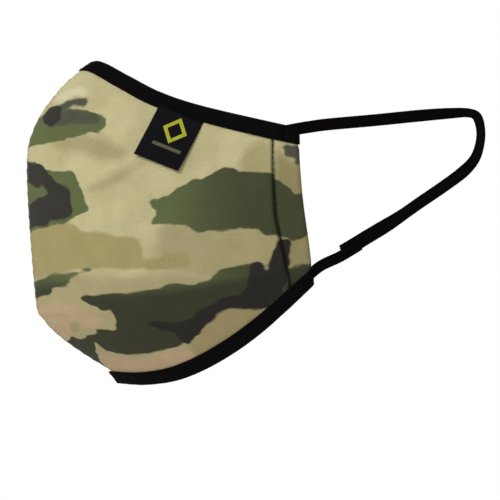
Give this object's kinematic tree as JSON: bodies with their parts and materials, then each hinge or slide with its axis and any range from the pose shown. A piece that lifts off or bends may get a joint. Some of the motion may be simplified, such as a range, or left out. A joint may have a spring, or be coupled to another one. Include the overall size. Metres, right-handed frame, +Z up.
{
  "type": "cloth face mask",
  "caption": "Shaped cloth face mask with a centre seam, bound edges, side hems, a woven side label and flat elastic ear loops.",
  "frame": {"origin": "middle of the face opening: on the middle plane, level with the middle of the side hems, at their rear edges", "axes": "+X towards the wearer's left, -Y forwards from the face, +Y back towards the ears, +Z up"},
  "size_m": [0.1438, 0.2039, 0.1445],
  "materials": {
    "camo_cloth": "printed camouflage cotton, matte",
    "filter_fleece": "non-woven fleece",
    "lining_cloth": "fine plain knit, matte",
    "black_tape": "woven binding tape, matte",
    "black_thread": "polyester sewing thread",
    "khaki_thread": "polyester sewing thread",
    "elastic": "flat knitted elastic",
    "nose_wire": "soft annealed strip",
    "label_cloth": "woven satin label",
    "label_yarn": "yellow-green woven yarn"
  },
  "bodies": {
    "right_half": {"right_outer_panel": "camo_cloth", "right_filter_layer": "filter_fleece", "right_lining_panel": "lining_cloth", "right_top_binding": "black_tape", "right_bottom_binding": "black_tape", "right_side_hem": "camo_cloth", "right_nose_wire": "nose_wire", "right_top_binding_thread": "black_thread", "right_bottom_binding_thread": "black_thread", "right_hem_thread": "khaki_thread", "right_seam_thread": "khaki_thread", "right_top_bartack": "black_thread", "right_bottom_bartack": "black_thread", "right_loop_top_root": "elastic", "right_loop_bottom_root": "elastic"},
    "left_half": {"left_outer_panel": "camo_cloth", "left_filter_layer": "filter_fleece", "left_lining_panel": "lining_cloth", "left_top_binding": "black_tape", "left_bottom_binding": "black_tape", "left_side_hem": "camo_cloth", "left_nose_wire": "nose_wire", "left_top_binding_thread": "black_thread", "left_bottom_binding_thread": "black_thread", "left_hem_thread": "khaki_thread", "left_seam_thread": "khaki_thread", "left_top_bartack": "black_thread", "left_bottom_bartack": "black_thread", "left_loop_top_root": "elastic", "left_loop_bottom_root": "elastic"},
    "right_ear_loop": {"right_ear_elastic": "elastic", "right_lower_elastic": "elastic", "right_lap_thread": "black_thread"},
    "left_ear_loop": {"left_ear_elastic": "elastic", "left_lower_elastic": "elastic", "left_lap_thread": "black_thread"},
    "label": {"side_label": "label_cloth", "label_motif": "label_yarn"}
  },
  "joints": [
    {"name": "centre_fold", "type": "hinge", "parent": "right_half", "child": "left_half", "pos_m": [0, -0.0915, 0.0625], "axis": [0, -0.1012, 0.9949], "range_deg": [0, 30]},
    {"name": "left_loop_swing", "type": "hinge", "parent": "left_half", "child": "left_ear_loop", "pos_m": [0.06185, 0.0008, 0.0334], "axis": [0, 0.0976, -0.9952], "range_deg": [-15, 135], "stiffness_Nm_per_rad": 0.004},
    {"name": "right_loop_swing", "type": "hinge", "parent": "right_half", "child": "right_ear_loop", "pos_m": [-0.06185, 0.0008, 0.0334], "axis": [0, -0.0976, 0.9952], "range_deg": [-15, 135], "stiffness_Nm_per_rad": 0.004},
    {"name": "label_flap", "type": "hinge", "parent": "left_half", "child": "label", "pos_m": [0.04139, -0.05588, 0.0374], "axis": [-0.4657, -0.8233, 0.3245], "range_deg": [0, 120], "stiffness_Nm_per_rad": 0.001}
  ]
}
